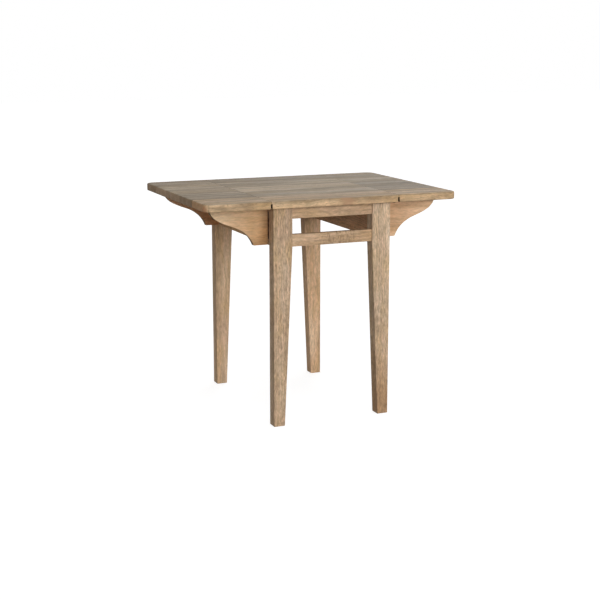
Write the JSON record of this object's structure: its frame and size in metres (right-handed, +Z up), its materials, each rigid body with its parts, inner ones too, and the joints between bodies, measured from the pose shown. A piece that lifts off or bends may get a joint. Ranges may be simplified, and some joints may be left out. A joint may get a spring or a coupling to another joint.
{
  "type": "drop-leaf extending dining table",
  "caption": "Small dining table with a fixed centre top on tapered legs, hinged end leaves and ogee swing brackets that carry the leaves level.",
  "frame": {"origin": "on the floor, under the middle of the table", "axes": "+Z up, X across the leaves with +X to the right as seen from the front, and the front facing -Y"},
  "size_m": [0.9012, 0.668, 0.76],
  "materials": {
    "top_wood": "limed hardwood boards, matt oil",
    "leg_wood": "pale hardwood, matt oil",
    "apron_wood": "pale hardwood, matt oil",
    "rail_wood": "pale hardwood, matt oil",
    "bracket_wood": "pale hardwood, matt oil",
    "block_wood": "plain sawn hardwood",
    "hinge_steel": "dark bronzed steel"
  },
  "bodies": {
    "frame": {"centre_top": "top_wood", "left_apron": "apron_wood", "right_apron": "apron_wood", "front_top_rail": "rail_wood", "front_lower_rail": "rail_wood", "rear_top_rail": "rail_wood", "rear_lower_rail": "rail_wood", "front_left_leg": "leg_wood", "front_left_corner_block": "block_wood", "front_left_top_cleat": "block_wood", "front_left_bracket_hinge_apron_plate": "hinge_steel", "front_left_bracket_hinge_pin": "hinge_steel", "front_left_leaf_hinge_top_plate": "hinge_steel", "front_left_leaf_hinge_pin": "hinge_steel", "front_right_leg": "leg_wood", "front_right_corner_block": "block_wood", "front_right_top_cleat": "block_wood", "front_right_bracket_hinge_apron_plate": "hinge_steel", "front_right_bracket_hinge_pin": "hinge_steel", "front_right_leaf_hinge_top_plate": "hinge_steel", "front_right_leaf_hinge_pin": "hinge_steel", "rear_left_leg": "leg_wood", "rear_left_corner_block": "block_wood", "rear_left_top_cleat": "block_wood", "rear_left_bracket_hinge_apron_plate": "hinge_steel", "rear_left_bracket_hinge_pin": "hinge_steel", "rear_left_leaf_hinge_top_plate": "hinge_steel", "rear_left_leaf_hinge_pin": "hinge_steel", "rear_right_leg": "leg_wood", "rear_right_corner_block": "block_wood", "rear_right_top_cleat": "block_wood", "rear_right_bracket_hinge_apron_plate": "hinge_steel", "rear_right_bracket_hinge_pin": "hinge_steel", "rear_right_leaf_hinge_top_plate": "hinge_steel", "rear_right_leaf_hinge_pin": "hinge_steel"},
    "left_leaf": {"left_leaf": "top_wood", "front_left_leaf_hinge_leaf_plate": "hinge_steel", "rear_left_leaf_hinge_leaf_plate": "hinge_steel"},
    "right_leaf": {"right_leaf": "top_wood", "front_right_leaf_hinge_leaf_plate": "hinge_steel", "rear_right_leaf_hinge_leaf_plate": "hinge_steel"},
    "front_left_bracket": {"front_left_bracket": "bracket_wood", "front_left_bracket_hinge_bracket_plate": "hinge_steel"},
    "front_right_bracket": {"front_right_bracket": "bracket_wood", "front_right_bracket_hinge_bracket_plate": "hinge_steel"},
    "rear_left_bracket": {"rear_left_bracket": "bracket_wood", "rear_left_bracket_hinge_bracket_plate": "hinge_steel"},
    "rear_right_bracket": {"rear_right_bracket": "bracket_wood", "rear_right_bracket_hinge_bracket_plate": "hinge_steel"}
  },
  "joints": [
    {"name": "left_leaf_lift", "type": "hinge", "parent": "frame", "child": "left_leaf", "pos_m": [-0.2275, 0, 0.7317], "axis": [0, 1, 0], "range_deg": [0, 1.5]},
    {"name": "right_leaf_lift", "type": "hinge", "parent": "frame", "child": "right_leaf", "pos_m": [0.2275, 0, 0.7317], "axis": [0, -1, 0], "range_deg": [0, 1.5]},
    {"name": "front_left_bracket_swing", "type": "hinge", "parent": "frame", "child": "front_left_bracket", "pos_m": [-0.2058, -0.2267, 0.671], "axis": [0, 0, -1], "range_deg": [0, 90]},
    {"name": "front_right_bracket_swing", "type": "hinge", "parent": "frame", "child": "front_right_bracket", "pos_m": [0.2058, -0.2267, 0.671], "axis": [0, 0, 1], "range_deg": [0, 90]},
    {"name": "rear_left_bracket_swing", "type": "hinge", "parent": "frame", "child": "rear_left_bracket", "pos_m": [-0.2058, 0.2267, 0.671], "axis": [0, 0, 1], "range_deg": [0, 90]},
    {"name": "rear_right_bracket_swing", "type": "hinge", "parent": "frame", "child": "rear_right_bracket", "pos_m": [0.2058, 0.2267, 0.671], "axis": [0, 0, -1], "range_deg": [0, 90]}
  ]
}
